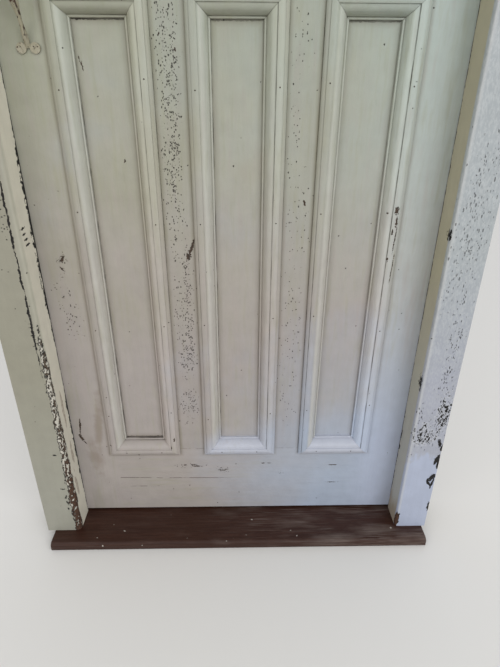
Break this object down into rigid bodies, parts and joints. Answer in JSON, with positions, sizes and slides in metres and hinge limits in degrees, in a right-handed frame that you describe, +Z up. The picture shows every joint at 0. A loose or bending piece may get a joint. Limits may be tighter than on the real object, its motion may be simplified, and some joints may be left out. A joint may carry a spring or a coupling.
{
  "type": "panelled front door",
  "caption": "Panelled timber front door leaf with raised mouldings, hung on butt hinges in its rebated frame and threshold, with a pull handle and rim latch.",
  "frame": {"origin": "on the bed of the threshold, midway between the reveals, under the outer face of the closed leaf", "axes": "+X from the lock side to the hinge side, +Y from outdoors to indoors through the leaf, +Z up"},
  "size_m": [0.951, 0.1943, 2.131],
  "materials": {
    "leaf_paint": "old off-white oil paint on timber, flaked and scuffed",
    "frame_paint": "old off-white oil paint on timber, flaked to bare wood on the front corners",
    "threshold_timber": "worn dark stained hardwood",
    "wedge_timber": "bare planed softwood",
    "hinge_steel": "dull aged steel",
    "handle_iron": "cast iron under old paint, chipped",
    "latch_iron": "black japanned iron",
    "latch_steel": "plain steel",
    "latch_brass": "dulled brass"
  },
  "bodies": {
    "frame": {"threshold": "threshold_timber", "lock_jamb": "frame_paint", "hinge_jamb": "frame_paint", "head_jamb": "frame_paint", "top_hinge_jamb_plate": "hinge_steel", "middle_hinge_jamb_plate": "hinge_steel", "bottom_hinge_jamb_plate": "hinge_steel", "top_hinge_pin": "hinge_steel", "middle_hinge_pin": "hinge_steel", "bottom_hinge_pin": "hinge_steel", "hinge_jamb_screws": "hinge_steel", "latch_keeper": "latch_iron", "latch_keeper_screws": "latch_steel"},
    "leaf": {"bottom_hinge_leaf_plate": "hinge_steel", "bottom_rail": "leaf_paint", "cylinder_plug": "latch_brass", "cylinder_ring": "latch_brass", "hinge_leaf_screws": "hinge_steel", "hinge_stile": "leaf_paint", "latch_case": "latch_iron", "latch_case_screws": "latch_steel", "latch_cylinder": "latch_brass", "latch_spring": "latch_steel", "lock_rail": "leaf_paint", "lock_stile": "leaf_paint", "lower_hinge_side_inner_moulding": "leaf_paint", "lower_hinge_side_muntin": "leaf_paint", "lower_hinge_side_outer_moulding": "leaf_paint", "lower_hinge_side_panel": "leaf_paint", "lower_lock_side_inner_moulding": "leaf_paint", "lower_lock_side_muntin": "leaf_paint", "lower_lock_side_outer_moulding": "leaf_paint", "lower_lock_side_panel": "leaf_paint", "lower_middle_inner_moulding": "leaf_paint", "lower_middle_outer_moulding": "leaf_paint", "lower_middle_panel": "leaf_paint", "middle_hinge_leaf_plate": "hinge_steel", "pull_handle": "handle_iron", "pull_handle_screws": "handle_iron", "tenon_wedges": "wedge_timber", "top_hinge_leaf_plate": "hinge_steel", "top_rail": "leaf_paint", "upper_hinge_side_inner_moulding": "leaf_paint", "upper_hinge_side_muntin": "leaf_paint", "upper_hinge_side_outer_moulding": "leaf_paint", "upper_hinge_side_panel": "leaf_paint", "upper_lock_side_inner_moulding": "leaf_paint", "upper_lock_side_muntin": "leaf_paint", "upper_lock_side_outer_moulding": "leaf_paint", "upper_lock_side_panel": "leaf_paint", "upper_middle_inner_moulding": "leaf_paint", "upper_middle_outer_moulding": "leaf_paint", "upper_middle_panel": "leaf_paint"},
    "bolt": {"latch_bolt": "latch_brass"},
    "knob": {"turn_knob": "latch_brass", "latch_cam": "latch_brass"},
    "snib": {"latch_snib": "latch_brass"}
  },
  "joints": [
    {"name": "door_swing", "type": "hinge", "parent": "frame", "child": "leaf", "pos_m": [0.40875, 0.05, 1.075], "axis": [0, 0, -1], "range_deg": [0, 110]},
    {"name": "bolt_throw", "type": "slide", "parent": "leaf", "child": "bolt", "axis": [-1, 0, 0], "range_m": [0, 0.01319], "deforming": ["latch_spring"]},
    {"name": "knob_turn", "type": "hinge", "parent": "leaf", "child": "knob", "pos_m": [-0.345, 0.058, 1.374], "axis": [0, 1, 0], "range_deg": [0, 70]},
    {"name": "snib_slide", "type": "slide", "parent": "leaf", "child": "snib", "axis": [0, 0, -1], "range_m": [0, 0.005]}
  ],
  "couplings": [
    {"joint": "knob_turn", "follows": "bolt_throw", "rad_per_m": 92.6}
  ]
}
